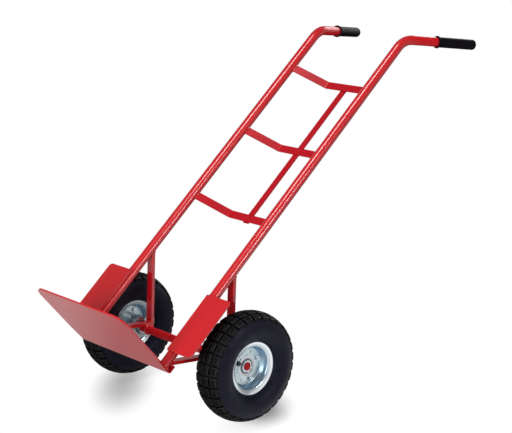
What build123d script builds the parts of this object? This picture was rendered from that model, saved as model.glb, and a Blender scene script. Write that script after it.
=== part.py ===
from build123d import *
import os
from math import asin, atan2, cos, hypot, radians, sin, tan

# Sack truck: a welded tube frame on a toe plate, two air-filled wheels on one fixed axle.
# Millimetres, +Z up, -Y is the load side and +Y the side of the person pushing it.
# The origin lies on the floor, midway between the feet of the two uprights.
# Left is the pusher's left hand, +X.

# Uprights and handles
upright_spacing = 297.0
tube_diameter = 24.0
tube_wall = 1.5
handle_corner_height = 1037.0
handle_bend_angle = 49.0
handle_splay_angle = 20.0
handle_bend_radius = 60.0
handle_reach = 99.5

# Grips, pushed over the ends of the handles
grip_length = 119.0
grip_wall = 1.2
grip_end_thickness = 4.0
grip_end_radius = 7.0
grip_flange_diameter = 32.0
grip_flange_thickness = 4.0
grip_flange_round = 1.6

# Toe plate, one sheet with its rear edge turned up behind the uprights
plate_thickness = 4.0
plate_width = 332.0
plate_rear_width = 320.0
plate_reach = 191.0
plate_taper_length = 55.0
plate_corner_radius = 34.0
flange_height = 21.5
flange_bend_radius = 3.7

# Cranked cross bars and the centre bar behind them
bar_height = 20.0
bar_thickness = 3.0
bar_setback = 65.5
bar_straight_length = 123.0
bar_bend_radius = 10.0
bar_rise_angle = 6.0
upper_bar_height = 903.0
bar_pitch = 222.5
centre_bar_width = 18.0
centre_bar_margin = 2.0

# Wheel guards, flat plates welded to the front of the uprights
guard_thickness = 3.0
guard_inner_overlap = 8.5
guard_width = 82.0
guard_bottom_height = 40.0
guard_height = 160.0
guard_corner_radius = 3.0
guard_top_radius = 9.0
guard_bottom_radius = 14.0

# Axle and the flat-bar struts that carry it
axle_diameter = 20.0
axle_setback = 140.0
axle_end_length = 2.5
axle_chamfer = 1.6
strut_width = 20.0
strut_thickness = 8.0
strut_saddle_depth = 1.0
strut_tail_length = 12.0
upper_strut_height = 268.0
lower_strut_height = 26.0
spacer_diameter = 27.0

# Tyre
track = 436.0
wheel_diameter = 260.0
tyre_width = 85.0
tread_depth = 5.0
tread_radius = 62.0
tread_groove = 4.8
block_width = 11.6
block_angle = 9.0
blocks_per_row = 30
block_root = 1.5
shoulder_block_width = 14.0
shoulder_drop = 5.6
shoulder_flare = 3.6
tread_edge = 34.0
crown_thickness = 5.5
sidewall_thickness = 5.5
widest_radius = 92.0
bead_toe = 13.0
bead_height = 7.0
bead_heel_clearance = 0.5
lip_gap = 1.0
cavity_flare = 0.62

# Split rim, two pressed halves bolted together at the middle of the wheel
rim_sheet = 2.0
bead_seat_radius = 50.8
rim_inside_width = 47.0
rim_lip_radius = 63.0
flange_rake = 4.5
disc_radius = 44.5
cone_depth = 9.0
rim_press_radius = 4.0
dimple_diameter = 7.0
dimple_height = 1.2
dimple_taper = 45.0
rim_bolt_circle = 70.0
rim_bolts_per_wheel = 4

# M6 bolts and nuts of the split rim
bolt_diameter = 6.0
bolt_hole_clearance = 0.25
hex_across_flats = 10.0
hex_top_diameter = 9.5
hex_chamfer_angle = 30.0
bolt_head_height = 4.0
nut_height = 5.0
bolt_end_length = 1.5

# Hub tube and its two shielded ball bearings, 20 x 47 x 14
hub_wall = 2.5
hub_step = 3.0
hub_outer_offset = 4.0
hub_length = 56.0
bearing_recess = 1.0
bearing_outer_diameter = 47.0
bearing_width = 14.0
bearing_pitch_diameter = 33.5
ball_diameter = 7.9
ball_count = 8
ball_clearance = 0.03
inner_land_diameter = 28.6
outer_land_diameter = 39.2
cage_thickness = 1.6
cage_width = 10.0
cage_clearance = 0.2
shield_thickness = 0.5
shield_inset = 0.3
shield_gap = 1.6

# Washer and retaining ring that keep each wheel on
washer_diameter = 28.0
washer_thickness = 1.0
washer_clearance = 0.1
ring_thickness = 1.2
ring_groove_depth = 0.75
ring_groove_clearance = 0.05
ring_width = 3.6
ring_gap = 7.0
ring_lug_radius = 2.4
ring_lug_hole = 1.0

# Inner tube, bent valve stem and its cap
tube_rubber = 2.0
tube_clearance = 0.4
valve_angle = 203.0
valve_diameter = 6.5
valve_bend_radius = 5.0
valve_offset = 2.3
valve_length = 18.0
valve_clearance = 1.2
valve_seat_gap = 0.15
cap_diameter = 11.0
cap_clearance = 0.5
cap_length = 12.0
cap_overhang = 2.0

# Worked-out places
half_spacing = upright_spacing / 2
tube_radius = tube_diameter / 2
axle_radius = axle_diameter / 2
wheel_radius = wheel_diameter / 2
wheel_x = track / 2
axle_point = Vector(0, axle_setback, wheel_radius)
bar_names = ["upper", "middle", "lower"]
bar_heights = [upper_bar_height - bar_pitch * i for i in range(len(bar_names))]
hub_radius = bearing_outer_diameter / 2 + hub_wall
bearing_face = hub_outer_offset - bearing_recess
hub_inner_end = hub_outer_offset - hub_length
inner_bearing_face = hub_inner_end + bearing_recess
bearing_centres = [bearing_face - bearing_width / 2, inner_bearing_face + bearing_width / 2]
washer_face = bearing_face + washer_thickness
ring_face = washer_face + ring_thickness
axle_end = ring_face + axle_end_length

os.makedirs("parts", exist_ok=True)


def save(piece, label):
    piece.part.label = label
    export_step(piece.part, f"parts/{label}.step")


def save_pair(piece, name):
    """Write a left-hand piece of the frame, and its mirror image on the right."""
    save(piece, f"left_{name}")
    with BuildPart() as right_piece:
        mirror(piece.part, about=Plane.YZ)
    save(right_piece, f"right_{name}")


def save_on_wheels(piece, name):
    """Write a piece of the wheel, modelled about the Z axis, at both ends of the axle."""
    for side, outward in (("left", 1), ("right", -1)):
        wheel_centre = (outward * wheel_x, axle_setback, wheel_radius)
        with BuildPart(Plane(wheel_centre, x_dir=(0, 1, 0), z_dir=(outward, 0, 0))) as placed:
            add(piece.part)
        save(placed, f"{side}_{name}")


# Upright: one tube from the toe plate to the handle end, bent back and outward at the top
splay = radians(handle_splay_angle)
bend = radians(handle_bend_angle)
handle_side = Vector(cos(splay), -sin(splay), 0)
handle_plane = Plane((half_spacing, 0, 0), x_dir=(sin(splay), cos(splay), 0), z_dir=handle_side)
handle_direction = handle_plane.x_dir * sin(bend) + Vector(0, 0, 1) * cos(bend)
handle_corner = Vector(half_spacing, 0, handle_corner_height)
grip_mouth = handle_corner + handle_direction * handle_reach
tube_end_reach = handle_reach + grip_length - grip_end_thickness

with BuildPart() as upright:
    with BuildLine(handle_plane):
        FilletPolyline(
            (0, plate_thickness),
            (0, handle_corner_height),
            (tube_end_reach * sin(bend), handle_corner_height + tube_end_reach * cos(bend)),
            radius=handle_bend_radius,
        )
    with BuildSketch(Plane(origin=(half_spacing, 0, plate_thickness))):
        Circle(tube_radius)
        Circle(tube_radius - tube_wall, mode=Mode.SUBTRACT)
    sweep()
save_pair(upright, "upright")

# Grip: a moulded sleeve with a collar at its mouth and a closed, rounded end
grip_plane = Plane(grip_mouth, x_dir=handle_side, z_dir=handle_side.cross(handle_direction))
with BuildPart() as grip:
    with BuildSketch(grip_plane) as half_grip:
        with BuildLine():
            Polyline(
                (tube_radius, 0),
                (grip_flange_diameter / 2, 0),
                (grip_flange_diameter / 2, grip_flange_thickness),
                (tube_radius + grip_wall, grip_flange_thickness),
                (tube_radius + grip_wall, grip_length),
                (0, grip_length),
                (0, grip_length - grip_end_thickness),
                (tube_radius, grip_length - grip_end_thickness),
                close=True,
            )
        make_face()
        fillet(half_grip.vertices().group_by(Axis.X)[-1], grip_flange_round)
        fillet(half_grip.vertices().group_by(Axis.Y)[-1].sort_by(Axis.X)[-1], grip_end_radius)
    revolve(axis=Axis(grip_mouth, handle_direction))
save_pair(grip, "grip")

# Toe plate: the sheet's bent section, drawn across the truck, trimmed to its outline seen from above
flange_back = tube_radius + flange_bend_radius + plate_thickness
with BuildPart() as toe_plate:
    with BuildSketch(Plane.YZ):
        with BuildLine():
            FilletPolyline(
                (-plate_reach, 0),
                (flange_back, 0),
                (flange_back, flange_height),
                radius=flange_bend_radius + plate_thickness,
            )
            offset(amount=plate_thickness, side=Side.LEFT)
        make_face()
    extrude(amount=plate_width / 2, both=True)
    with BuildSketch() as plate_outline:
        with BuildLine():
            Polyline(
                (0, -plate_reach),
                (plate_width / 2, -plate_reach),
                (plate_width / 2, flange_back - plate_taper_length),
                (plate_rear_width / 2, flange_back),
                (0, flange_back),
            )
            mirror(about=Plane.YZ)
        make_face()
        front_corners = plate_outline.vertices().group_by(Axis.Y)[0].group_by(SortBy.DISTANCE)[-1]
        fillet(front_corners, plate_corner_radius)
    extrude(amount=flange_height, mode=Mode.INTERSECT)
save(toe_plate, "toe_plate")

# Cross bars: flat bar cranked back and a little upward from each upright, its ends coped to the tubes
for bar_name, height in zip(bar_names, bar_heights):
    with BuildPart() as cross_bar:
        with BuildSketch(Plane.XY.offset(height).rotated((bar_rise_angle, 0, 0))):
            with BuildLine():
                FilletPolyline(
                    (half_spacing, 0),
                    (bar_straight_length / 2, bar_setback),
                    (-bar_straight_length / 2, bar_setback),
                    (-half_spacing, 0),
                    radius=bar_bend_radius,
                )
            trace(line_width=bar_thickness)
        extrude(amount=bar_height / 2, both=True)
        with Locations((half_spacing, 0, height), (-half_spacing, 0, height)):
            Cylinder(tube_radius, 2 * bar_height, mode=Mode.SUBTRACT)
    save(cross_bar, f"{bar_name}_cross_bar")

# Centre bar: flat bar down the back of the cross bars
rise = radians(bar_rise_angle)
bar_back = (bar_setback + bar_thickness / 2) * cos(rise) + bar_height / 2 * sin(rise)
bar_middle_rise = bar_setback * sin(rise)
centre_bar_top = bar_heights[0] + bar_middle_rise + bar_height / 2 - centre_bar_margin
centre_bar_foot = bar_heights[-1] + bar_middle_rise - bar_height / 2 - centre_bar_margin
with BuildPart() as centre_bar:
    with BuildSketch(Plane.XY.offset(centre_bar_foot)):
        with Locations((0, bar_back)):
            Rectangle(centre_bar_width, bar_thickness, align=(Align.CENTER, Align.MIN))
    extrude(amount=centre_bar_top - centre_bar_foot)
save(centre_bar, "centre_bar")

# Wheel guard: a flat plate across the front of the upright, reaching out in front of the tyre
guard_corner = (half_spacing - guard_inner_overlap, guard_bottom_height)
with BuildPart() as wheel_guard:
    with BuildSketch(Plane.XZ.offset(tube_radius)) as guard_face:
        with Locations(guard_corner):
            Rectangle(guard_width, guard_height, align=(Align.MIN, Align.MIN))
        fillet(guard_face.vertices().group_by(Axis.X)[0], guard_corner_radius)
        fillet(guard_face.vertices().group_by(Axis.X)[-1].sort_by(Axis.Y)[-1], guard_top_radius)
        fillet(guard_face.vertices().group_by(Axis.X)[-1].sort_by(Axis.Y)[0], guard_bottom_radius)
    extrude(amount=guard_thickness)
save_pair(wheel_guard, "wheel_guard")


def strut_plane(foot_height):
    """Plane whose X axis runs down the middle of a strut, from the back of the upright to over the axle."""
    rise = wheel_radius - foot_height
    run = axle_setback - tube_radius
    axle_to_middle = axle_radius - strut_saddle_depth + strut_thickness / 2
    angle = atan2(rise, run) + asin(axle_to_middle / hypot(rise, run))
    foot = (half_spacing, tube_radius, foot_height)
    return Plane(foot, x_dir=(0, cos(angle), sin(angle)), z_dir=(1, 0, 0))


# Struts: two flat bars coped to the upright that lie on top of the axle, which nests under their joint
upper_plane = strut_plane(upper_strut_height)
lower_plane = strut_plane(lower_strut_height)
upper_reach = upper_plane.to_local_coords(axle_point + Vector(half_spacing, 0, 0)).X
lower_reach = lower_plane.to_local_coords(axle_point + Vector(half_spacing, 0, 0)).X
upper_underside = Plane(
    upper_plane.origin - upper_plane.y_dir * strut_thickness / 2, x_dir=(1, 0, 0), z_dir=upper_plane.y_dir
)
for name, plane, length in (
    ("upper", upper_plane, upper_reach + strut_tail_length),
    ("lower", lower_plane, lower_reach + axle_diameter),
):
    with BuildPart() as strut:
        with BuildSketch(plane):
            with Locations((-tube_radius, 0)):
                Rectangle(tube_radius + length, strut_thickness, align=(Align.MIN, Align.CENTER))
        extrude(amount=strut_width / 2, both=True)
        if name == "lower":
            split(bisect_by=upper_underside, keep=Keep.BOTTOM)
        with Locations((half_spacing, 0, plane.origin.Z)):
            Cylinder(tube_radius, wheel_diameter, mode=Mode.SUBTRACT)
        with Locations(Plane(axle_point, z_dir=(1, 0, 0))):
            Cylinder(axle_radius, track, mode=Mode.SUBTRACT)
    save_pair(strut, f"{name}_axle_strut")

# Axle: one bar across both wheels, grooved near each end for the retaining rings
groove_radius = axle_radius - ring_groove_depth
groove_width = ring_thickness + 2 * ring_groove_clearance
groove_place = wheel_x + washer_face + ring_thickness / 2
with BuildPart(Plane(axle_point, z_dir=(1, 0, 0))) as axle:
    Cylinder(axle_radius, 2 * (wheel_x + axle_end))
    chamfer(axle.edges().filter_by(GeomType.CIRCLE), axle_chamfer)
    with Locations((0, 0, groove_place), (0, 0, -groove_place)):
        Cylinder(axle_radius, groove_width, mode=Mode.SUBTRACT)
        Cylinder(groove_radius, groove_width)
save(axle, "axle")

# Spacer tube between each strut and the inner bearing
strut_face = half_spacing + strut_width / 2 - wheel_x
with BuildPart() as spacer:
    with BuildSketch(Plane.XY.offset(strut_face)):
        Circle(spacer_diameter / 2)
        Circle(axle_radius, mode=Mode.SUBTRACT)
    extrude(amount=inner_bearing_face - strut_face)
save_on_wheels(spacer, "axle_spacer")

# Washer on the outer bearing
with BuildPart() as washer:
    with BuildSketch(Plane.XY.offset(bearing_face)):
        Circle(washer_diameter / 2)
        Circle(axle_radius + washer_clearance, mode=Mode.SUBTRACT)
    extrude(amount=washer_thickness)
save_on_wheels(washer, "axle_washer")

# Retaining ring: a sprung open ring in the axle's groove, with two eyes for pliers
ring_inside = groove_radius + ring_groove_clearance
lug_offset = ring_gap / 2 + ring_lug_radius
lug_reach = ring_inside + ring_lug_radius
with BuildPart() as retaining_ring:
    with BuildSketch(Plane.XY.offset(washer_face)):
        Circle(ring_inside + ring_width)
        Rectangle(2 * lug_reach, ring_gap, align=(Align.MIN, Align.CENTER), mode=Mode.SUBTRACT)
        with Locations((lug_reach, lug_offset), (lug_reach, -lug_offset)):
            Circle(ring_lug_radius)
        Circle(ring_inside, mode=Mode.SUBTRACT)
        with Locations((lug_reach, lug_offset), (lug_reach, -lug_offset)):
            Circle(ring_lug_hole, mode=Mode.SUBTRACT)
    extrude(amount=ring_thickness)
save_on_wheels(retaining_ring, "retaining_ring")


def bearing_ring(inside, outside):
    """Bearing ring about the Z axis, with its ball groove."""
    with BuildPart() as ring:
        with BuildSketch(Plane.XZ):
            with Locations((inside, 0)):
                Rectangle(outside - inside, bearing_width, align=(Align.MIN, Align.CENTER))
            with Locations((bearing_pitch_diameter / 2, 0)):
                Circle(ball_diameter / 2 + ball_clearance, mode=Mode.SUBTRACT)
        revolve(axis=Axis.Z)
    return ring


# Ball bearings: rings, balls, cages and shields, both bearings of a wheel together
bearing_places = [(0, 0, centre) for centre in bearing_centres]
inner_ring = bearing_ring(axle_radius, inner_land_diameter / 2)
outer_ring = bearing_ring(outer_land_diameter / 2, bearing_outer_diameter / 2)
with BuildPart() as cage:
    Cylinder((bearing_pitch_diameter + cage_thickness) / 2, cage_width)
    Cylinder((bearing_pitch_diameter - cage_thickness) / 2, cage_width, mode=Mode.SUBTRACT)
    pocket_radius = ball_diameter / 2 + cage_clearance
    with PolarLocations(bearing_pitch_diameter / 2, ball_count):
        Cylinder(pocket_radius, 2 * cage_width, rotation=(0, 90, 0), mode=Mode.SUBTRACT)
shield_place = bearing_width / 2 - shield_inset - shield_thickness
with BuildPart() as shield:
    with BuildSketch(Plane.XY.offset(shield_place)):
        Circle(outer_land_diameter / 2)
        Circle(inner_land_diameter / 2 + shield_gap, mode=Mode.SUBTRACT)
    extrude(amount=shield_thickness)
    mirror(about=Plane.XY)
for name, piece in (
    ("bearing_inner_rings", inner_ring),
    ("bearing_outer_rings", outer_ring),
    ("bearing_cages", cage),
    ("bearing_shields", shield),
):
    with BuildPart() as bearing_pair:
        with Locations(bearing_places):
            add(piece.part)
    save_on_wheels(bearing_pair, name)

with BuildPart() as bearing_balls:
    with Locations(bearing_places):
        with PolarLocations(bearing_pitch_diameter / 2, ball_count):
            Sphere(ball_diameter / 2)
save_on_wheels(bearing_balls, "bearing_balls")

# Hub: a tube through the rim, bored at each end for a bearing
with BuildPart() as hub:
    with BuildSketch(Plane.XY.offset(hub_inner_end)):
        Circle(hub_radius)
        Circle(bearing_outer_diameter / 2 - hub_step, mode=Mode.SUBTRACT)
    extrude(amount=hub_length)
    seat_depth = bearing_width + bearing_recess
    with Locations((0, 0, hub_inner_end + seat_depth / 2), (0, 0, hub_outer_offset - seat_depth / 2)):
        Cylinder(bearing_outer_diameter / 2, seat_depth, mode=Mode.SUBTRACT)
save_on_wheels(hub, "hub")

# Route of the valve: in from the inner tube, then out beside the wall of the rim
valve_plane = Plane.XZ.rotated((0, 0, valve_angle))
valve_radius = bead_seat_radius - rim_sheet - cap_clearance - cap_diameter / 2
valve_top = bead_seat_radius + tube_clearance - valve_seat_gap
with BuildLine(valve_plane) as valve_route:
    FilletPolyline(
        (valve_top, valve_offset),
        (valve_radius, valve_offset),
        (valve_radius, valve_offset + valve_length),
        radius=valve_bend_radius,
    )

# Rim halves: pressed sheet, from the disc on the hub out to the lip that holds the tyre
first_bolt_angle = valve_angle + 180 / rim_bolts_per_wheel
rim_bolt_places = PolarLocations(rim_bolt_circle / 2, rim_bolts_per_wheel, start_angle=first_bolt_angle)
rim_lip_inside = rim_inside_width / 2
flange_foot = rim_lip_inside - flange_rake
with BuildPart() as rim_half:
    with BuildSketch(Plane.XZ):
        with BuildLine():
            FilletPolyline(
                (hub_radius, 0),
                (disc_radius, 0),
                (bead_seat_radius, cone_depth),
                (bead_seat_radius, flange_foot),
                (rim_lip_radius, rim_lip_inside),
                radius=rim_press_radius,
            )
            offset(amount=rim_sheet, side=Side.LEFT)
        make_face()
    revolve(axis=Axis.Z)
    with rim_bolt_places:
        Cylinder(bolt_diameter / 2 + bolt_hole_clearance, cone_depth, mode=Mode.SUBTRACT)
    with BuildSketch(Plane.XY.offset(rim_sheet)):
        with PolarLocations(rim_bolt_circle / 2, 2, start_angle=valve_angle + 90):
            Circle(dimple_diameter / 2)
    extrude(amount=dimple_height, taper=dimple_taper)
with BuildPart() as outer_rim:
    add(rim_half.part)
    with BuildSketch(Plane(valve_route.line @ 0, z_dir=valve_route.line % 0)):
        Circle(valve_diameter / 2 + valve_clearance)
    sweep(path=valve_route.line, mode=Mode.SUBTRACT)
save_on_wheels(outer_rim, "outer_rim")
with BuildPart() as inner_rim:
    mirror(rim_half.part, about=Plane.XY)
save_on_wheels(inner_rim, "inner_rim")


def hexagon_block(height):
    """Hexagon of a bolt head or nut on the XY plane, its outer corners turned off."""
    top_radius = hex_top_diameter / 2
    with BuildPart() as block:
        with BuildSketch():
            RegularPolygon(hex_across_flats / 2, 6, major_radius=False)
        extrude(amount=height)
        Cone(
            top_radius + height / tan(radians(hex_chamfer_angle)),
            top_radius,
            height,
            align=(Align.CENTER, Align.CENTER, Align.MIN),
            mode=Mode.INTERSECT,
        )
    return block.part


# Rim bolts, heads on the frame side, and their nuts on the outside
bolt_length = 2 * rim_sheet + nut_height + bolt_end_length
with BuildPart() as bolt:
    add(hexagon_block(bolt_head_height))
    with BuildSketch():
        Circle(bolt_diameter / 2)
    extrude(amount=-bolt_length)
with BuildPart(Plane.XY.offset(-rim_sheet)) as rim_bolts:
    with rim_bolt_places:
        add(bolt.part, rotation=(180, 0, 0))
save_on_wheels(rim_bolts, "rim_bolts")
with BuildPart() as nut:
    add(hexagon_block(nut_height))
    Hole(bolt_diameter / 2)
with BuildPart(Plane.XY.offset(rim_sheet)) as rim_nuts:
    with rim_bolt_places:
        add(nut.part)
save_on_wheels(rim_nuts, "rim_nuts")


def crown_radius(across):
    """Radius of the worn face of the tread at a distance from the middle of the tyre."""
    return wheel_radius - (across**2 - (tread_groove / 2) ** 2) / (2 * tread_radius)


# Space inside the tyre and on the rim, drawn in radius and distance across
cavity_roof = wheel_radius - tread_depth - crown_thickness
cavity_wall = tyre_width / 2 - sidewall_thickness
bead_top = bead_seat_radius + bead_height
quarter_turn = cos(radians(45))
with BuildSketch() as cavity:
    with BuildLine():
        ThreePointArc(
            (cavity_roof, 0),
            (widest_radius + (cavity_roof - widest_radius) * quarter_turn, cavity_wall * quarter_turn),
            (widest_radius, cavity_wall),
        )
        ThreePointArc(
            (widest_radius, cavity_wall),
            ((widest_radius + bead_top) / 2, bead_toe + (cavity_wall - bead_toe) * cavity_flare),
            (bead_top, bead_toe),
        )
        Polyline((bead_top, bead_toe), (bead_seat_radius, bead_toe), (bead_seat_radius, 0))
        mirror(about=Plane.XZ)
    make_face()

# Tread blocks: two rows on each side of the middle groove, the outer ones ending in a sloping foot
block_start = tread_groove / 2
block_end = block_start + block_width
shoulder_start = block_end + tread_groove
shoulder_end = shoulder_start + shoulder_block_width
block_sink = tread_depth + block_root
with BuildPart() as tread_blocks:
    with BuildSketch(Plane.XZ.rotated((0, 0, -block_angle / 2))):
        with BuildLine():
            Polyline(
                (crown_radius(block_start) - block_sink, block_start),
                (crown_radius(block_start), block_start),
                (crown_radius(block_end), block_end),
                (crown_radius(block_end) - block_sink, block_end),
                close=True,
            )
        make_face()
        with BuildLine():
            Polyline(
                (crown_radius(shoulder_start) - block_sink, shoulder_start),
                (crown_radius(shoulder_start), shoulder_start),
                (crown_radius(shoulder_end), shoulder_end),
                (crown_radius(shoulder_end) - shoulder_drop, shoulder_end + shoulder_flare),
                (crown_radius(shoulder_end) - block_sink, shoulder_end),
                close=True,
            )
        make_face()
        mirror(about=Plane.XZ)
    revolve(axis=Axis.Z, revolution_arc=block_angle)

# Tyre: the carcass on its two beads, with the tread blocks all round it
flange_slope = flange_rake / (rim_lip_radius - bead_seat_radius)
lip_clear = (rim_lip_radius + lip_gap, rim_lip_inside + lip_gap * flange_slope)
sidewall_foot = (rim_lip_radius + rim_sheet, rim_lip_inside + 2 * rim_sheet)
tread_shoulder = (crown_radius(tread_edge) - tread_depth, tread_edge)
with BuildPart() as tyre:
    with BuildSketch(Plane.XZ):
        with BuildLine():
            FilletPolyline(
                (bead_seat_radius, 0),
                (bead_seat_radius, flange_foot),
                lip_clear,
                radius=rim_press_radius + bead_heel_clearance,
            )
            Line(lip_clear, sidewall_foot)
            ThreePointArc(sidewall_foot, (widest_radius, tyre_width / 2), tread_shoulder)
            ThreePointArc(
                tread_shoulder,
                (crown_radius(tread_edge / 2) - tread_depth, tread_edge / 2),
                (wheel_radius - tread_depth, 0),
            )
            mirror(about=Plane.XZ)
        make_face()
        add(cavity.sketch, mode=Mode.SUBTRACT)
    revolve(axis=Axis.Z)
    with PolarLocations(0, blocks_per_row):
        add(tread_blocks.part)
save_on_wheels(tyre, "tyre")

# Inner tube: fills the tyre and bears on the rim
with BuildPart() as inner_tube:
    with BuildSketch(Plane.XZ):
        add(cavity.sketch)
        offset(amount=-tube_clearance, mode=Mode.REPLACE)
        offset(amount=-tube_rubber, mode=Mode.SUBTRACT)
    revolve(axis=Axis.Z)
save_on_wheels(inner_tube, "inner_tube")

# Valve: the stem leaves the inner tube and bends out through the rim, capped at its end
with BuildPart() as valve_stem:
    with BuildSketch(Plane(valve_route.line @ 0, z_dir=valve_route.line % 0)):
        Circle(valve_diameter / 2)
    sweep(path=valve_route.line)
save_on_wheels(valve_stem, "valve_stem")
cap_start = valve_offset + valve_length + cap_overhang - cap_length
with BuildPart() as valve_cap:
    with BuildSketch(valve_plane) as half_cap:
        with Locations((valve_radius, cap_start)):
            Rectangle(cap_diameter / 2, cap_length, align=(Align.MIN, Align.MIN))
        fillet(half_cap.vertices().group_by(Axis.Y)[-1].sort_by(Axis.X)[-1], cap_overhang / 2)
        with Locations((valve_radius, cap_start)):
            Rectangle(
                valve_diameter / 2,
                cap_length - cap_overhang,
                align=(Align.MIN, Align.MIN),
                mode=Mode.SUBTRACT,
            )
    revolve(axis=Axis(valve_plane.from_local_coords((valve_radius, 0, 0)), (0, 0, 1)))
save_on_wheels(valve_cap, "valve_cap")
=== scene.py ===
from math import cos, pi, radians, sin

import bpy
from mathutils import Matrix, Vector


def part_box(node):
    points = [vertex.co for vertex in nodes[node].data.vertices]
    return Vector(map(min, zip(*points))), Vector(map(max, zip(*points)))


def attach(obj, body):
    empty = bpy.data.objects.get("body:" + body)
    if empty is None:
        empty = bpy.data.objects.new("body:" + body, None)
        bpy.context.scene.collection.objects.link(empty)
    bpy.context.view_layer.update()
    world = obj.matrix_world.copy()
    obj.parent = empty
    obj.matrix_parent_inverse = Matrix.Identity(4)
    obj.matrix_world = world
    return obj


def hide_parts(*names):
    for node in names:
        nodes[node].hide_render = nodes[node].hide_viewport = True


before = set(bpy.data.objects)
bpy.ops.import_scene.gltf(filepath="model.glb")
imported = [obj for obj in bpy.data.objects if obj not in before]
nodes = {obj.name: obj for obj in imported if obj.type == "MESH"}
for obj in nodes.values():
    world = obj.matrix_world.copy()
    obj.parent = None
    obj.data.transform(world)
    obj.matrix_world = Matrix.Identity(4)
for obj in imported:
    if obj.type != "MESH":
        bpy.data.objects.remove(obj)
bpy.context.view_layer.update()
bpy.ops.object.select_all(action="DESELECT")


# Welded frame: toe plate, uprights, cross bars, guards, struts and axle.
# Mild steel tube, flat bar and sheet, welded up and powder coated in one bright red.
# The coat is glossy, duller on the flat bars and where hands rub it, and thin on the axle.
class Wire:
    """One output in a finish's nodes. Sums and products of wires add Math nodes."""

    def __init__(self, tree, socket):
        self.tree = tree
        self.socket = socket

    def node(self, kind, settings=None, inputs=None, output=0):
        """Add one node: its settings first, then the values or wires of its sockets."""
        made = self.tree.nodes.new("ShaderNode" + kind)
        for name, value in (settings or {}).items():
            if name == "stops":
                self.set_stops(made.color_ramp, value)
            else:
                setattr(made, name, value)
        for name, value in (inputs or {}).items():
            if isinstance(value, Wire):
                self.tree.links.new(value.socket, made.inputs[name])
            else:
                made.inputs[name].default_value = value
        return Wire(self.tree, made.outputs[output])

    @staticmethod
    def set_stops(ramp, stops):
        while len(ramp.elements) < len(stops):
            ramp.elements.new(1.0)
        for element, (position, colour) in zip(ramp.elements, stops):
            element.position = position
            element.color = colour

    def into(self, shader, socket):
        self.tree.links.new(self.socket, shader.inputs[socket])

    def math(self, operation, first, second=0.0):
        return self.node("Math", {"operation": operation}, {0: first, 1: second})

    def __add__(self, other):
        return self.math("ADD", self, other)

    def __radd__(self, other):
        return self.math("ADD", other, self)

    def __sub__(self, other):
        return self.math("SUBTRACT", self, other)

    def __rsub__(self, other):
        return self.math("SUBTRACT", other, self)

    def __mul__(self, other):
        return self.math("MULTIPLY", self, other)

    def __rmul__(self, other):
        return self.math("MULTIPLY", other, self)

    def along(self, axis):
        """One coordinate, X, Y or Z, of this wire's place."""
        return self.node("SeparateXYZ", None, {"Vector": self}, axis)

    def noise(self, scale, detail=2.0, roughness=0.5):
        """Noise on this wire's coordinates, scale in cycles to the metre."""
        inputs = {"Vector": self, "Scale": scale, "Detail": detail, "Roughness": roughness}
        return self.node("TexNoise", None, inputs)

    def blend(self, first, second):
        """Mix two colours by this wire, from 0 for the first to 1 for the second."""
        colour_a, colour_b, colour_result = 6, 7, 2
        inputs = {"Factor": self, colour_a: first, colour_b: second}
        return self.node("Mix", {"data_type": "RGBA"}, inputs, colour_result)

    def clamp(self, low, high):
        """Spread this wire's values from low to high over 0 to 1, and hold them there."""
        inputs = {"Value": self, "From Min": low, "From Max": high}
        return self.node("MapRange", {"clamp": True}, inputs)

    def bump(self, height, depth, strength=1.0):
        """Normal of a surface that this height, times a depth in metres, raises."""
        return self.node("Bump", None, {"Height": height, "Distance": depth, "Strength": strength})


def new_finish(name):
    """A new material: the material, its shader and the wire of its object coordinates."""
    finish = bpy.data.materials.new(name)
    finish.use_nodes = True
    tree = finish.node_tree
    place = Wire(tree, tree.nodes.new("ShaderNodeTexCoord").outputs["Object"])
    return finish, tree.nodes["Principled BSDF"], place


def coat_nodes(finish, *names):
    """Give CAD nodes a finish."""
    for name in names:
        nodes[name].data.materials.clear()
        nodes[name].data.materials.append(finish)


hand_wear = 0.95
hand_reach = (1.030, 1.065)
peel_depth = 0.000003


def powder_coat(name, light, deep, gloss, blur):
    """A coat of two reds, with the weight and roughness of its gloss, rubbed dull beside the grips."""
    finish, shader, place = new_finish(name)
    patches = place.noise(7.0, 3.0)
    peel = place.noise(240.0, 1.0)
    nibs = place.noise(140.0, 0.0).clamp(0.74, 0.80)
    handled = place.along("Z").clamp(*hand_reach)
    patches.blend(light, deep).into(shader, "Base Color")
    (patches * 0.10 + nibs * 0.15 + 0.22).into(shader, "Roughness")
    (gloss - handled * (gloss * hand_wear)).into(shader, "Coat Weight")
    place.bump(peel + nibs * 0.6, peel_depth, 0.25).into(shader, "Normal")
    shader.inputs["Specular IOR Level"].default_value = 0.15
    shader.inputs["Coat Roughness"].default_value = blur
    shader.inputs["Coat IOR"].default_value = 1.66
    return finish


red_light = (0.690, 0.012, 0.018, 1.0)
red_deep = (0.620, 0.009, 0.014, 1.0)
# The flat bars take darker reds than the tubes as painted shade; their coat is the same bright red.
bar_shaded_red_light = (0.560, 0.010, 0.020, 1.0)
bar_shaded_red_deep = (0.480, 0.008, 0.016, 1.0)
red_coat = powder_coat("red_powder_coat", red_light, red_deep, gloss=0.9, blur=0.07)
tube_coat = powder_coat("red_tube_coat", red_light, red_deep, gloss=0.9, blur=0.20)
shaded_bar_coat = powder_coat("red_bar_coat_painted_shade", bar_shaded_red_light, bar_shaded_red_deep, gloss=0.05, blur=0.30)
sides = ("left", "right")
coat_nodes(red_coat, "toe_plate")
coat_nodes(shaded_bar_coat, "centre_bar", "upper_cross_bar", "middle_cross_bar", "lower_cross_bar")
for side in sides:
    coat_nodes(tube_coat, f"{side}_upright")
    coat_nodes(red_coat, f"{side}_wheel_guard")
    coat_nodes(red_coat, f"{side}_upper_axle_strut", f"{side}_lower_axle_strut")

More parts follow.
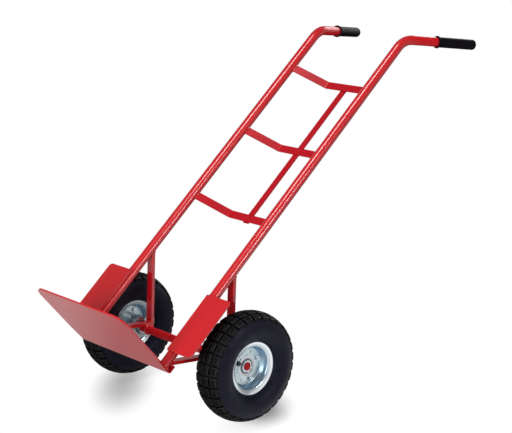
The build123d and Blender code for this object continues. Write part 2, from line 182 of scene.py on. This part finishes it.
axle_red_light = (0.800, 0.014, 0.022, 1.0)
axle_red_deep = (0.520, 0.009, 0.014, 1.0)
axle_coat, shader, place = new_finish("axle_coat")
sawn = place.noise(420.0, 4.0, 0.6)
sawn.blend(axle_red_light, axle_red_deep).into(shader, "Base Color")
(sawn * 0.25 + 0.35).into(shader, "Roughness")
place.bump(sawn, 0.00004, 0.5).into(shader, "Normal")
shader.inputs["Specular IOR Level"].default_value = 0.15
shader.inputs["Coat Weight"].default_value = 0.15
shader.inputs["Coat Roughness"].default_value = 0.25
coat_nodes(axle_coat, "axle")


# Weld seams: the round beads that join tubes, bars, plate and axle.
# Laid by hand before coating, so they carry the same red.
# Each kind of bead is modelled once, and copies lie along the joints of the frame.
tube_x = 0.1485
tube_radius = 0.012
axle_middle = Vector((0.0, 0.140, 0.130))
bead_sides = 8
bead_rings = 54
bead_swell = 0.00035


def pick(piece, kind, rule):
    """Select only the points, edges or faces that a rule takes, and stay in edit mode."""
    bpy.ops.object.mode_set(mode="EDIT")
    bpy.ops.mesh.select_mode(type=kind)
    bpy.ops.mesh.select_all(action="DESELECT")
    bpy.ops.object.mode_set(mode="OBJECT")
    elements = {"VERT": piece.data.vertices, "EDGE": piece.data.edges, "FACE": piece.data.polygons}
    for element in elements[kind]:
        element.select = rule(element)
    bpy.ops.object.mode_set(mode="EDIT")


def swell_bead(bead, rule):
    """Raise the points of a bead that a rule takes, as the pool of metal leaves them."""
    pick(bead, "VERT", rule)
    bpy.ops.transform.shrink_fatten(value=bead_swell)
    bpy.ops.object.mode_set(mode="OBJECT")


def ring_bead(radius, thickness, span=360.0, stretch=1.0):
    """A bead round a tube, flat on XY. A span under 360 leaves an arc about +Y, stretched along it."""
    bpy.ops.mesh.primitive_torus_add(
        major_radius=radius, minor_radius=thickness, major_segments=bead_rings, minor_segments=bead_sides
    )
    bead = bpy.context.object
    swell_bead(bead, lambda point: True)
    if span < 360.0:
        arc_end = cos(radians(span / 2))
        pick(bead, "VERT", lambda point: point.co.y < arc_end * point.co.to_2d().length)
        bpy.ops.mesh.delete(type="VERT")
        bpy.ops.mesh.select_all(action="SELECT")
        bpy.ops.mesh.fill_holes(sides=bead_sides)
        bpy.ops.transform.resize(value=(1.0, stretch, 1.0), center_override=(0.0, 0.0, 0.0))
        bpy.ops.object.mode_set(mode="OBJECT")
    bead.select_set(False)
    return bead


def straight_bead(length, thickness, rings, blunt=False):
    """A bead along Z with narrowed ends and a swollen shaft. The tips of a blunt one are swollen too."""
    shaft = length - 2 * thickness
    bpy.ops.mesh.primitive_cylinder_add(vertices=bead_sides, radius=thickness, depth=shaft)
    bead = bpy.context.object

    def runs_along(edge):
        first, second = (bead.data.vertices[i].co for i in edge.vertices)
        return abs(first.z - second.z) > length / 2

    def is_swollen(point):
        past_shaft = abs(point.co.z) - shaft / 2
        return past_shaft < thickness * 0.1 or blunt and past_shaft > thickness * 0.9

    pick(bead, "FACE", lambda face: abs(face.normal.z) > 0.9)
    bpy.ops.mesh.inset(thickness=thickness * 0.25, depth=thickness * 0.65)
    bpy.ops.mesh.inset(thickness=thickness * 0.45, depth=thickness * 0.35)
    pick(bead, "EDGE", runs_along)
    bpy.ops.mesh.subdivide(number_cuts=rings - 1)
    swell_bead(bead, is_swollen)
    bead.select_set(False)
    return bead


weld_beads = []


def lay_bead(bead, place, along=(0.0, 0.0, 1.0), across=(1.0, 0.0, 0.0)):
    """Copy a bead to both sides of the frame, its Z along one direction and its X across it."""
    along = Vector(along).normalized()
    across = (Vector(across) - along * along.dot(Vector(across))).normalized()
    turn = Matrix((across, along.cross(across), along)).transposed().to_4x4()
    for mirror in (1, -1):
        copy = bead.copy()
        copy.data = bead.data.copy()
        bpy.context.collection.objects.link(copy)
        flip = Matrix.Scale(mirror, 4, (1.0, 0.0, 0.0))
        copy.data.transform(flip @ Matrix.Translation(place) @ turn)
        if mirror < 0:
            copy.data.flip_normals()
        weld_beads.append(copy)


plate_top = 0.0050
foot_bead = ring_bead(0.0126, 0.0019)
lay_bead(foot_bead, (tube_x, 0.0, plate_top))
strut_side = tube_x - 0.0106
axle_bead = ring_bead(0.0106, 0.0020)
axle_seam = (strut_side, axle_middle.y, axle_middle.z)
lay_bead(axle_bead, axle_seam, along=(1.0, 0.0, 0.0), across=(0.0, 1.0, 0.0))

upper_strut = (radians(-43.19), 0.268)
lower_strut = (radians(43.60), 0.026)
strut_half = 0.004
for slope, foot in (upper_strut, lower_strut):
    strut_bead = ring_bead(0.0127, 0.0018, span=112.0, stretch=1.0 / cos(slope))
    for face in (1, -1):
        height = foot + (face * strut_half + tube_radius * -sin(slope)) / cos(slope)
        lay_bead(strut_bead, (tube_x, 0.0, height), along=(0.0, -sin(slope), cos(slope)))
    bpy.data.objects.remove(strut_bead)

short_bead = straight_bead(0.021, 0.0021, rings=27)
strut_seam = (tube_x, 0.1341, 0.1479)
lay_bead(short_bead, strut_seam, along=(1.0, 0.0, 0.0), across=(0.0, 0.0, 1.0))
bar_rise = radians(6.0)
bar_up = (0.0, -sin(bar_rise), cos(bar_rise))
bar_end = Vector((tube_x - 0.00959, 0.00722, 0.0))
through_bar = Vector((0.6015, 0.799, 0.0))
bar_seams = (-0.0014, 0.0014)
bar_heights = (0.903, 0.6805, 0.458)
centre_seam = Vector((0.0091, 0.0679, 0.0068))
for height in bar_heights:
    for offset in bar_seams:
        seam = bar_end + through_bar * offset
        seam.z = height + seam.y * sin(bar_rise)
        lay_bead(short_bead, seam, along=bar_up)
    lay_bead(short_bead, centre_seam + Vector((0.0, 0.0, height)), along=bar_up)

guard_bead = straight_bead(0.030, 0.0022, rings=36, blunt=True)
guard_back = -0.0114
guard_seams = (tube_x - 0.0042, tube_x + 0.0042)
guard_heights = (0.062, 0.120, 0.178)
for height in guard_heights:
    for across in guard_seams:
        lay_bead(guard_bead, (across, guard_back, height))
for bead in (foot_bead, axle_bead, short_bead, guard_bead):
    bpy.data.objects.remove(bead)

bpy.ops.object.select_all(action="DESELECT")
for bead in weld_beads:
    bead.select_set(True)
bpy.context.view_layer.objects.active = weld_beads[0]
bpy.ops.object.join()
weld_seams = bpy.context.object
weld_seams.name = "weld_seams"
bpy.ops.object.shade_smooth()
weld_seams.data.materials.clear()
weld_seams.data.materials.append(red_coat)
weld_seams.select_set(False)
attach(weld_seams, "frame")


# Grips: black soft plastic sleeves pushed over the handle ends.
# Moulded with a fine matt grain and a smooth collar at the mouth.
grip_dark = (0.0040, 0.0030, 0.0050, 1.0)
grip_pale = (0.0085, 0.0068, 0.0095, 1.0)
grip_black, shader, place = new_finish("grip_plastic")
grain = place.noise(900.0, 3.0)
shade = place.noise(30.0, 2.0)
shade.blend(grip_dark, grip_pale).into(shader, "Base Color")
(grain * 0.15 + 0.45).into(shader, "Roughness")
place.bump(grain, 0.00015, 0.4).into(shader, "Normal")
shader.inputs["Specular IOR Level"].default_value = 0.04
coat_nodes(grip_black, "left_grip", "right_grip")


# Rims: two halves pressed from steel sheet, zinc plated, the flange rolled over last.
# Rolling leaves fine rings on the flange. The drawn wall behind it is painted darker blue, as painted
# reflection.
wall_start = (0.0425, 0.0450)
flange_start = (0.0490, 0.0560)
disc_grey = (0.46, 0.56, 0.59, 1.0)
disc_pale = (0.66, 0.76, 0.78, 1.0)
# Painted reflection: the darker blue of the wall behind the flange.
wall_reflection_blue = (0.44, 0.60, 0.74, 1.0)
ring_grey = (0.60, 0.67, 0.72, 1.0)
ring_bright = (0.93, 0.95, 0.97, 1.0)


def axle_distance(place):
    """Distance of a point from the line of the axle."""
    spread = place.node("VectorMath", {"operation": "SUBTRACT"}, {0: place, 1: axle_middle})
    flat = spread.node("VectorMath", {"operation": "MULTIPLY"}, {0: spread, 1: (0.0, 1.0, 1.0)})
    return flat.node("VectorMath", {"operation": "LENGTH"}, {0: flat}, "Value")


rim_zinc, shader, place = new_finish("rim_zinc")
radius = axle_distance(place)
clouds = place.noise(38.0, 4.0, 0.6)
flange = radius.clamp(*flange_start)
wall = radius.clamp(*wall_start) - flange
rings = place.node("TexNoise", {"noise_dimensions": "1D"}, {"W": radius, "Scale": 230.0, "Detail": 2.0})
disc_zinc = clouds.clamp(0.3, 0.7).blend(disc_grey, disc_pale)
wall_reflection_zinc = wall.blend(disc_zinc, wall_reflection_blue)
ringed_zinc = rings.clamp(0.35, 0.65).blend(ring_grey, ring_bright)
flange.blend(wall_reflection_zinc, ringed_zinc).into(shader, "Base Color")
(clouds * 0.12 - flange * 0.10 + 0.26).into(shader, "Roughness")
shader.inputs["Metallic"].default_value = 1.0
place.bump(rings * flange, 0.00020, 0.5).into(shader, "Normal")
for side in sides:
    coat_nodes(rim_zinc, f"{side}_outer_rim", f"{side}_inner_rim")


# Hubs, spacers and fasteners: turned and pressed steel, zinc plated.
# The plating is bright and slightly blue, with soft clouds where it took unevenly.
zinc_grey = (0.56, 0.65, 0.71, 1.0)
zinc_pale = (0.74, 0.80, 0.83, 1.0)
zinc, shader, place = new_finish("zinc_plate")
clouds = place.noise(38.0, 4.0, 0.6)
specks = place.noise(700.0, 2.0)
clouds.blend(zinc_grey, zinc_pale).into(shader, "Base Color")
(clouds * 0.14 + specks * 0.05 + 0.20).into(shader, "Roughness")
shader.inputs["Metallic"].default_value = 1.0
place.bump(specks, 0.00003, 0.3).into(shader, "Normal")
for side in sides:
    coat_nodes(zinc, f"{side}_hub", f"{side}_rim_bolts", f"{side}_rim_nuts")
    coat_nodes(zinc, f"{side}_axle_spacer", f"{side}_axle_washer", f"{side}_retaining_ring")


# Bearings: ground steel rings, balls, pressed cages and shields, pushed into the hubs.
# All are bright under a film of oil; each shield's inner edge is painted dark as painted shade.
steel_grey = (0.50, 0.51, 0.53, 1.0)
steel_pale = (0.62, 0.63, 0.65, 1.0)
bearing_steel, shader, place = new_finish("bearing_steel")
turning = place.noise(420.0, 3.0)
turning.blend(steel_grey, steel_pale).into(shader, "Base Color")
(turning * 0.2 + 0.18).into(shader, "Roughness")
shader.inputs["Metallic"].default_value = 1.0

# Painted shade: each shield is dark towards its inner edge, beside the gap at the inner ring.
shield_shade_black = (0.030, 0.032, 0.036, 1.0)
shield_shade_grey = (0.075, 0.078, 0.085, 1.0)
shield_steel_grey = (0.44, 0.47, 0.50, 1.0)
shield_shade_edge = (0.0160, 0.0180)
shield_sheet, shader, place = new_finish("shield_sheet")
oil = place.noise(300.0, 3.0)
shaded_mottle = oil.blend(shield_shade_black, shield_shade_grey)
axle_distance(place).clamp(*shield_shade_edge).blend(shaded_mottle, shield_steel_grey).into(shader, "Base Color")
(oil * 0.2 + 0.35).into(shader, "Roughness")
shader.inputs["Metallic"].default_value = 1.0
for side in sides:
    coat_nodes(shield_sheet, f"{side}_bearing_shields")
    for piece in ("inner_rings", "outer_rings", "cages", "balls"):
        coat_nodes(bearing_steel, f"{side}_bearing_{piece}")


# Inner tubes: butyl rubber rings inside the tyres, moulded and dusted with talc.
# Each carries a bent valve stem, brass under a rubber cover, vulcanised to the tube.
tube_black = (0.012, 0.012, 0.013, 1.0)
talc_grey = (0.030, 0.030, 0.032, 1.0)
tube_rubber, shader, place = new_finish("tube_rubber")
talc = place.noise(60.0, 3.0)
talc.blend(tube_black, talc_grey).into(shader, "Base Color")
(talc * 0.2 + 0.45).into(shader, "Roughness")

stem_black = (0.006, 0.006, 0.007, 1.0)
stem_grey = (0.017, 0.017, 0.018, 1.0)
stem_rubber, shader, place = new_finish("stem_rubber")
handling = place.noise(500.0, 3.0)
handling.blend(stem_black, stem_grey).into(shader, "Base Color")
(handling * 0.25 + 0.35).into(shader, "Roughness")
place.bump(handling, 0.00005, 0.4).into(shader, "Normal")
for side in sides:
    coat_nodes(tube_rubber, f"{side}_inner_tube")
    coat_nodes(stem_rubber, f"{side}_valve_stem")


# Valve caps: black plastic, moulded with grip flutes round the side and a crowned end.
# Each screws over the end of its valve stem.
cap_black = (0.004, 0.004, 0.005, 1.0)
cap_grey = (0.014, 0.014, 0.015, 1.0)
cap_plastic, shader, place = new_finish("cap_plastic")
scratches = place.noise(650.0, 4.0)
scratches.blend(cap_black, cap_grey).into(shader, "Base Color")
(scratches * 0.25 + 0.30).into(shader, "Roughness")
place.bump(scratches, 0.00004, 0.4).into(shader, "Normal")

flutes = 16
flute_wall = 0.00022
flute_depth = 0.00045
crown_height = 0.0012
end_dimple = 0.0004
for side, outward in zip(sides, (1, -1)):
    low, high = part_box(f"{side}_valve_cap")
    length = high.x - low.x - crown_height
    middle = (low + high) / 2 - Vector((outward * crown_height / 2, 0.0, 0.0))
    bpy.ops.mesh.primitive_cylinder_add(
        vertices=2 * flutes,
        radius=(high.y - low.y) / 2,
        depth=length,
        location=middle,
        rotation=(0.0, pi / 2, 0.0),
    )
    cap = bpy.context.object
    cap.name = f"{side}_fluted_cap"
    bpy.ops.object.transform_apply(location=True, rotation=True, scale=True)
    around = [
        (Vector((0.0, 1.0)).angle_signed((face.center - middle).yz), face.index)
        for face in cap.data.polygons
        if abs(face.normal.x) < 0.5
    ]
    flute_faces = {index for turn, index in sorted(around)[::2]}
    pick(cap, "FACE", lambda face: face.index in flute_faces)
    bpy.ops.mesh.inset(thickness=flute_wall, depth=-flute_depth, use_individual=True)
    pick(cap, "FACE", lambda face: face.normal.x * outward > 0.9)
    bpy.ops.mesh.inset(thickness=0.0008, depth=crown_height * 0.7)
    bpy.ops.mesh.inset(thickness=0.0016, depth=crown_height * 0.3)
    bpy.ops.mesh.inset(thickness=0.0005, depth=-end_dimple)
    bpy.ops.mesh.select_mode(type="VERT")
    bpy.ops.object.mode_set(mode="OBJECT")
    bpy.ops.object.shade_smooth_by_angle(angle=radians(40.0))
    cap.data.materials.append(cap_plastic)
    cap.select_set(False)
    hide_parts(f"{side}_valve_cap")
    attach(cap, f"{side}_wheel")


# Tyres: near-black rubber, moulded in a two-part mould with four rows of tread blocks.
# The carcass is turned from its section, and one block of each row is copied round it.
# Fine raised rings mark the bead and the joint between sidewall and tread.
wheel_x = 0.218
wheel_middle = Vector((wheel_x, axle_middle.y, axle_middle.z))
wheel_axis = (1.0, 0.0, 0.0)
wheel_radius = 0.130
crown_width = 0.124
pitches = 30
pitch_angle = 2 * pi / pitches
block_angle = radians(8.6)
block_root = 0.008
groove_depth = 0.0065
inner_row = (0.0024, 0.008, 0.014)
shoulder_row = (0.0188, 0.0258, 0.0328)


def crown(across):
    """Radius of the tread's top at a distance across from the tyre's middle."""
    return wheel_radius - (across**2 - inner_row[0] ** 2) / crown_width


def on_wheel(radius, across, turn=0.0):
    return wheel_middle + Vector((across, radius * cos(turn), radius * sin(turn)))


def draw_outline(name, points):
    """A line of edges from point to point, each extruded from the one before."""
    bpy.ops.mesh.primitive_plane_add(size=0.001, location=(0.0, 0.0, 0.0))
    piece = bpy.context.object
    piece.name = name
    bpy.ops.object.mode_set(mode="EDIT")
    bpy.ops.mesh.merge(type="CENTER")
    bpy.ops.transform.translate(value=points[0])
    for start, end in zip(points, points[1:]):
        bpy.ops.mesh.extrude_region_move(TRANSFORM_OT_translate={"value": end - start})
    bpy.ops.mesh.select_all(action="SELECT")
    return piece


def spin_outline(steps, angle):
    """Turn the selected outline about the axle, and close what it makes."""
    bpy.ops.mesh.spin(steps=steps, angle=angle, center=wheel_middle, axis=wheel_axis)
    bpy.ops.mesh.select_all(action="SELECT")
    bpy.ops.mesh.remove_doubles(threshold=1e-6)
    bpy.ops.mesh.normals_make_consistent(inside=False)
    bpy.ops.object.mode_set(mode="OBJECT")


def arc_points(first, middle, last, count):
    """Points on the circle through three points, from the first to the last."""
    (ax, ay), (bx, by), (cx, cy) = first, middle, last
    d = 2 * (ax * (by - cy) + bx * (cy - ay) + cx * (ay - by))
    a2, b2, c2 = ax * ax + ay * ay, bx * bx + by * by, cx * cx + cy * cy
    centre = Vector((
        (a2 * (by - cy) + b2 * (cy - ay) + c2 * (ay - by)) / d,
        (a2 * (cx - bx) + b2 * (ax - cx) + c2 * (bx - ax)) / d,
    ))
    start, end = Vector(first) - centre, Vector(last) - centre
    sweep = start.angle_signed(end)
    return [centre + Matrix.Rotation(-sweep * i / count, 2) @ start for i in range(count + 1)]


def row_section(row, wall):
    """Section of a block: up from its root, along the crown, then down its outer wall."""
    return [(crown(row[0]) - block_root, row[0])] + [(crown(u), u) for u in row] + wall


sidewall_dark = (0.0016, 0.0016, 0.0058, 1.0)
sidewall_pale = (0.0115, 0.0112, 0.0220, 1.0)
# Painted shade: the carcass is near black where it lies between the tread blocks.
groove_shade_black = (0.0006, 0.0006, 0.0008, 1.0)
groove_start = (0.1150, 0.1165)
tyre_rubber, shader, place = new_finish("tyre_rubber")
bloom = place.noise(60.0, 6.0, 0.65)
grain = place.noise(1200.0, 2.0)
groove = axle_distance(place).clamp(*groove_start)
sidewall_black = bloom.clamp(0.25, 0.75).blend(sidewall_dark, sidewall_pale)
groove.blend(sidewall_black, groove_shade_black).into(shader, "Base Color")
(bloom.clamp(0.35, 0.65) * 0.30 + groove * 0.30 + 0.32).into(shader, "Roughness")
place.bump(grain * 0.25 + bloom, 0.0008, 0.5).into(shader, "Normal")
shader.inputs["Specular IOR Level"].default_value = 0.20
shader.inputs["Specular Tint"].default_value = (0.72, 0.72, 1.0, 1.0)

lug_dark = (0.0026, 0.0024, 0.0030, 1.0)
lug_scuffed = (0.0150, 0.0140, 0.0145, 1.0)
# Painted shade: block sides below the tops are near black, darker the deeper they lie under the crown.
flank_shade_black = (0.0012, 0.0012, 0.0016, 1.0)
flank_depth = (0.0012, 0.0036)
outer_wall = (0.0322, 0.0332)
lug_rubber, shader, place = new_finish("tread_lug_rubber")
scuff = place.noise(220.0, 3.0)
across = place.math("ABSOLUTE", place.along("X")) - wheel_x
depth = wheel_radius - across * across * (1 / crown_width) - axle_distance(place)
flank = depth.clamp(*flank_depth) * (1 - across.clamp(*outer_wall))
top_black = scuff.clamp(0.25, 0.75).blend(lug_dark, lug_scuffed)
flank.blend(top_black, flank_shade_black).into(shader, "Base Color")
(scuff * 0.20 + 0.55).into(shader, "Roughness")
place.bump(scuff, 0.0002, 0.4).into(shader, "Normal")
shader.inputs["Specular IOR Level"].default_value = 0.02

# Painted highlight: the bevelled block edges take a lighter rubber than the tops.
edge_dark = (0.0040, 0.0038, 0.0044, 1.0)
edge_highlight_grey = (0.0290, 0.0272, 0.0280, 1.0)
edge_rubber, shader, place = new_finish("moulded_edge_rubber")
rub = place.noise(160.0, 3.0)
rub.clamp(0.25, 0.75).blend(edge_dark, edge_highlight_grey).into(shader, "Base Color")
(rub * 0.2 + 0.40).into(shader, "Roughness")
shader.inputs["Specular IOR Level"].default_value = 0.25

bead_foot = [(0.0508, 0.013), (0.0508, 0.016), (0.0525, 0.0195), (0.056, 0.0212), (0.0640, 0.0240)]
sidewall = arc_points((0.065, 0.0275), (0.092, 0.0425), (0.1157, 0.034), 20)
shoulder_ring = [(0.1146, 0.0354), (0.1153, 0.0361), (0.1161, 0.0357), (0.1160, 0.0340)]
groove_places = (0.032, 0.0285, 0.025, 0.021, 0.0164, 0.012, 0.008, 0.004)
groove_floor = [(crown(u) - groove_depth, u) for u in groove_places]
groove_middle = [(crown(0.0) - groove_depth, 0.0)]
half_section = bead_foot + [tuple(p) for p in sidewall[:-2]] + shoulder_ring + groove_floor
section = half_section + groove_middle + [(r, -u) for r, u in reversed(half_section)]
carcass = draw_outline("tyre_carcass", [on_wheel(r, u) for r, u in section])
spin_outline(180, 2 * pi)
carcass.select_set(False)
carcass.data.materials.append(tyre_rubber)
tyre_pieces = [carcass]

block_sections = {
    "inner": row_section(inner_row, [(crown(inner_row[-1]) - block_root, inner_row[-1])]),
    "shoulder": row_section(shoulder_row, [(0.1166, 0.0359), (0.1130, 0.0335)]),
}
for name, corners in block_sections.items():
    block = draw_outline(f"{name}_block", [on_wheel(r, u, -block_angle / 2) for r, u in corners])
    bpy.ops.mesh.edge_face_add()
    spin_outline(3, block_angle)
    block.data.materials.append(lug_rubber)
    block.data.materials.append(edge_rubber)
    rounding = block.modifiers.new("rounding", "BEVEL")
    rounding.width = 0.0010
    rounding.segments = 2
    rounding.limit_method = "ANGLE"
    rounding.angle_limit = radians(25.0)
    rounding.material = 1
    bpy.ops.object.modifier_apply(modifier="rounding")
    bpy.ops.object.mode_set(mode="EDIT")
    bpy.ops.mesh.select_all(action="SELECT")
    bpy.ops.mesh.duplicate()
    bpy.ops.transform.resize(value=(-1.0, 1.0, 1.0), center_override=wheel_middle)
    bpy.ops.mesh.flip_normals()
    bpy.ops.mesh.select_all(action="SELECT")
    copies = pitches - 1
    bpy.ops.mesh.spin(
        steps=copies, dupli=True, angle=copies * pitch_angle, center=wheel_middle, axis=wheel_axis
    )
    bpy.ops.object.mode_set(mode="OBJECT")
    block.select_set(False)
    tyre_pieces.append(block)

for piece in tyre_pieces:
    piece.select_set(True)
bpy.context.view_layer.objects.active = carcass
bpy.ops.object.join()
bpy.ops.object.shade_smooth_by_angle(angle=radians(35.0))
left_tyre = bpy.context.object
left_tyre.name = "left_block_tyre"
bpy.ops.object.transform_apply(location=True, rotation=True, scale=True)
right_tyre = left_tyre.copy()
right_tyre.data = left_tyre.data.copy()
right_tyre.name = "right_block_tyre"
bpy.context.collection.objects.link(right_tyre)
right_tyre.data.transform(Matrix.Translation((-2 * wheel_x, 0.0, 0.0)))
bpy.ops.object.select_all(action="DESELECT")
for side, tyre in zip(sides, (left_tyre, right_tyre)):
    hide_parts(f"{side}_tyre")
    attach(tyre, f"{side}_wheel")


# Studio: a pale floor, a reflector card, soft lamps and the camera, all turned by the angle at which
# the truck leans back on its wheels in the picture. The truck itself stays upright in its own frame,
# and a second floor under it shows only from above.
lean = radians(49.64)
room_up = Vector((0.0, -sin(lean), cos(lean)))
room_back = Vector((0.0, cos(lean), sin(lean)))
wheel_contact = axle_middle - room_up * wheel_radius
white = (1.0, 1.0, 1.0, 1.0)
contact_reach = 0.05
contact_shade = 0.30
picture_turn = radians(47.1)


def room(across, back, height):
    """A place in the leaning truck's room: across it, back from the wheels, and above its floor."""
    return wheel_contact + Vector((across, 0.0, 0.0)) + room_back * back + room_up * height


def ray_wires(wire):
    """Wires that say whether a ray comes from the camera, a mirror or a clear surface."""
    kinds = ("Camera", "Glossy", "Transmission")
    return [wire.node("LightPath", output=f"Is {kind} Ray") for kind in kinds]


def soft_spot(place, middle, reach, turn):
    """1 at a middle on the floor, falling softly to 0 at its reach to each side, turned by an angle."""
    shape = {"Location": (*middle, 0.0), "Rotation": (0.0, 0.0, turn), "Scale": (*reach, 1.0)}
    spread = place.node("Mapping", {"vector_type": "TEXTURE"}, {"Vector": place, **shape})
    squared = spread.node("VectorMath", {"operation": "DOT_PRODUCT"}, {0: spread, 1: spread}, "Value")
    near = squared.clamp(1.0, 0.0)
    return near * near


def floor_finish(name, soft_shadows):
    """A white floor, darker close to the truck and under its soft shadows, seen from above only."""
    finish, shader, place = new_finish(name)
    tree = finish.node_tree
    tree.nodes.remove(shader)
    camera_ray, glossy_ray, through_ray = ray_wires(place)
    back_face = place.node("NewGeometry", output="Backfacing")
    seen = (1 - back_face) * place.math("MINIMUM", camera_ray + glossy_ray + through_ray, 1.0)
    lit_from = Vector((-0.68, 0.0, 0.0)) + room_up * 0.32 - room_back * 0.66
    toward_light = place.node("CombineXYZ", None, dict(zip("XYZ", lit_from.normalized())))
    contact = {"Distance": contact_reach, "Normal": toward_light}
    open_sky = place.node("AmbientOcclusion", {"samples": 16}, contact, "AO")
    shaded = (1 - open_sky) * contact_shade
    for middle, reach, depth in soft_shadows:
        shaded = shaded + soft_spot(place, middle, reach, picture_turn) * depth
    across = place.along("X")
    # For mirrors the floor is painted darker under and behind the truck and lighter to its sides, most
    # to the right.
    mirrored = across.clamp(-0.45, -0.20) * 0.23 - across.clamp(0.1, 0.3) * 0.65
    dimmed = mirrored + place.along("Y").clamp(0.5, 1.1) * 0.50 + 0.50
    paleness = place.math("MAXIMUM", 1 - camera_ray * shaded - glossy_ray * dimmed, 0.0)
    pale = place.node("Emission", None, {"Color": paleness})
    shown = place.node("MixShader", None, {0: seen, 1: place.node("BsdfTransparent"), 2: pale})
    shown.into(tree.nodes["Material Output"], "Surface")
    return finish


near_shadow = ((0.1840, 0.0812), (0.090, 0.152), 0.72)
far_shadow = ((-0.1443, -0.0798), (0.092, 0.228), 0.52)
floors = (
    ("studio_floor", lean, wheel_contact, (near_shadow, far_shadow)),
    ("upright_floor", 0.0, (0.0, 0.0, -0.002), ()),
)
for name, tilt, location, soft_shadows in floors:
    bpy.ops.mesh.primitive_plane_add(size=8.0, location=location, rotation=(tilt, 0.0, 0.0))
    floor = bpy.context.object
    floor.name = name
    floor.data.materials.append(floor_finish(name, soft_shadows))
    floor.visible_shadow = False
    floor.visible_glossy = tilt > 0
    floor.select_set(False)

card_grey = (0.70, 0.70, 0.70, 1.0)
card_pale = (0.90, 0.90, 0.90, 1.0)
card_finish, shader, place = new_finish("reflector_card")
tree = card_finish.node_tree
tree.nodes.remove(shader)
falloff = place.noise(2.0, 0.0).clamp(0.2, 0.8).blend(card_grey, card_pale)
place.node("Emission", None, {"Color": falloff}).into(tree.nodes["Material Output"], "Surface")
bpy.ops.mesh.primitive_plane_add(size=1.0, location=room(1.2, 0.45, 0.19), rotation=(lean, 0.0, 0.0))
card = bpy.context.object
card.name = "reflector_card"
own_axes = {"orient_type": "LOCAL", "center_override": card.location}
bpy.ops.transform.rotate(value=pi / 2, orient_axis="Y", **own_axes)
bpy.ops.transform.resize(value=(0.36, 1.0, 1.0), **own_axes)
card.data.materials.append(card_finish)
for rays_seen in ("visible_camera", "visible_diffuse", "visible_shadow", "visible_transmission"):
    setattr(card, rays_seen, False)
card.select_set(False)

world = bpy.data.worlds.new("studio")
bpy.context.scene.world = world
world.use_nodes = True
tree = world.node_tree
sky = tree.nodes["Background"]
view = Wire(tree, tree.nodes.new("ShaderNodeTexCoord").outputs["Generated"])
height = view.node("VectorMath", {"operation": "DOT_PRODUCT"}, {0: view, 1: room_up}, "Value")
levels = [(0.0, 0.80), (0.38, 0.70), (0.46, 0.36), (0.60, 0.26), (1.0, 0.16)]
greys = [(stop, (level, level, level, 1.0)) for stop, level in levels]
glow = height.node("ValToRGB", {"stops": greys}, {"Fac": height * 0.5 + 0.5})
camera_ray, glossy_ray, through_ray = ray_wires(view)
camera_ray.blend(glow, white).into(sky, "Color")
bright = view.math("MINIMUM", camera_ray + glossy_ray + through_ray, 1.0)
(bright * 0.50 + 0.50).into(sky, "Strength")


def softbox(name, place, width, height, power):
    """A soft area lamp at a place in the room, turned to the truck's middle."""
    bpy.ops.object.light_add(type="AREA", location=place)
    lamp = bpy.context.object
    lamp.name = name
    lamp.data.shape = "RECTANGLE"
    lamp.data.size = width
    lamp.data.size_y = height
    lamp.data.energy = power
    lamp.rotation_euler = (truck_middle - place).to_track_quat("-Z", "Y").to_euler()
    lamp.select_set(False)


truck_middle = room(0.148, 0.267, 0.541)
softbox("top_lamp", room(0.38, -0.26, 2.94), width=0.58, height=1.0, power=27.0)
softbox("side_lamp", room(2.27, 0.44, 1.18), width=0.30, height=0.6, power=12.0)
softbox("fill_lamp", room(0.6, -2.6, 0.9), width=1.6, height=1.4, power=56.0)
softbox("back_lamp", room(-0.5, 2.7, 1.3), width=1.4, height=1.4, power=34.0)

camera_place = room(2.4138, -2.0083, 1.2115)
camera_aim = room(0.0, 0.2351, 0.4038)
forward = (camera_aim - camera_place).normalized()
right = forward.cross(room_up).normalized()
up = right.cross(forward)
bpy.ops.object.camera_add(location=camera_place)
camera = bpy.context.object
camera.name = "photo_camera"
camera.rotation_euler = Matrix((right, up, -forward)).transposed().to_euler()
camera.data.sensor_fit = "HORIZONTAL"
camera.data.sensor_width = 36.0
camera.data.lens = 96.606
camera.data.clip_end = 50.0
bpy.context.scene.camera = camera
bpy.context.scene.view_settings.view_transform = "Standard"
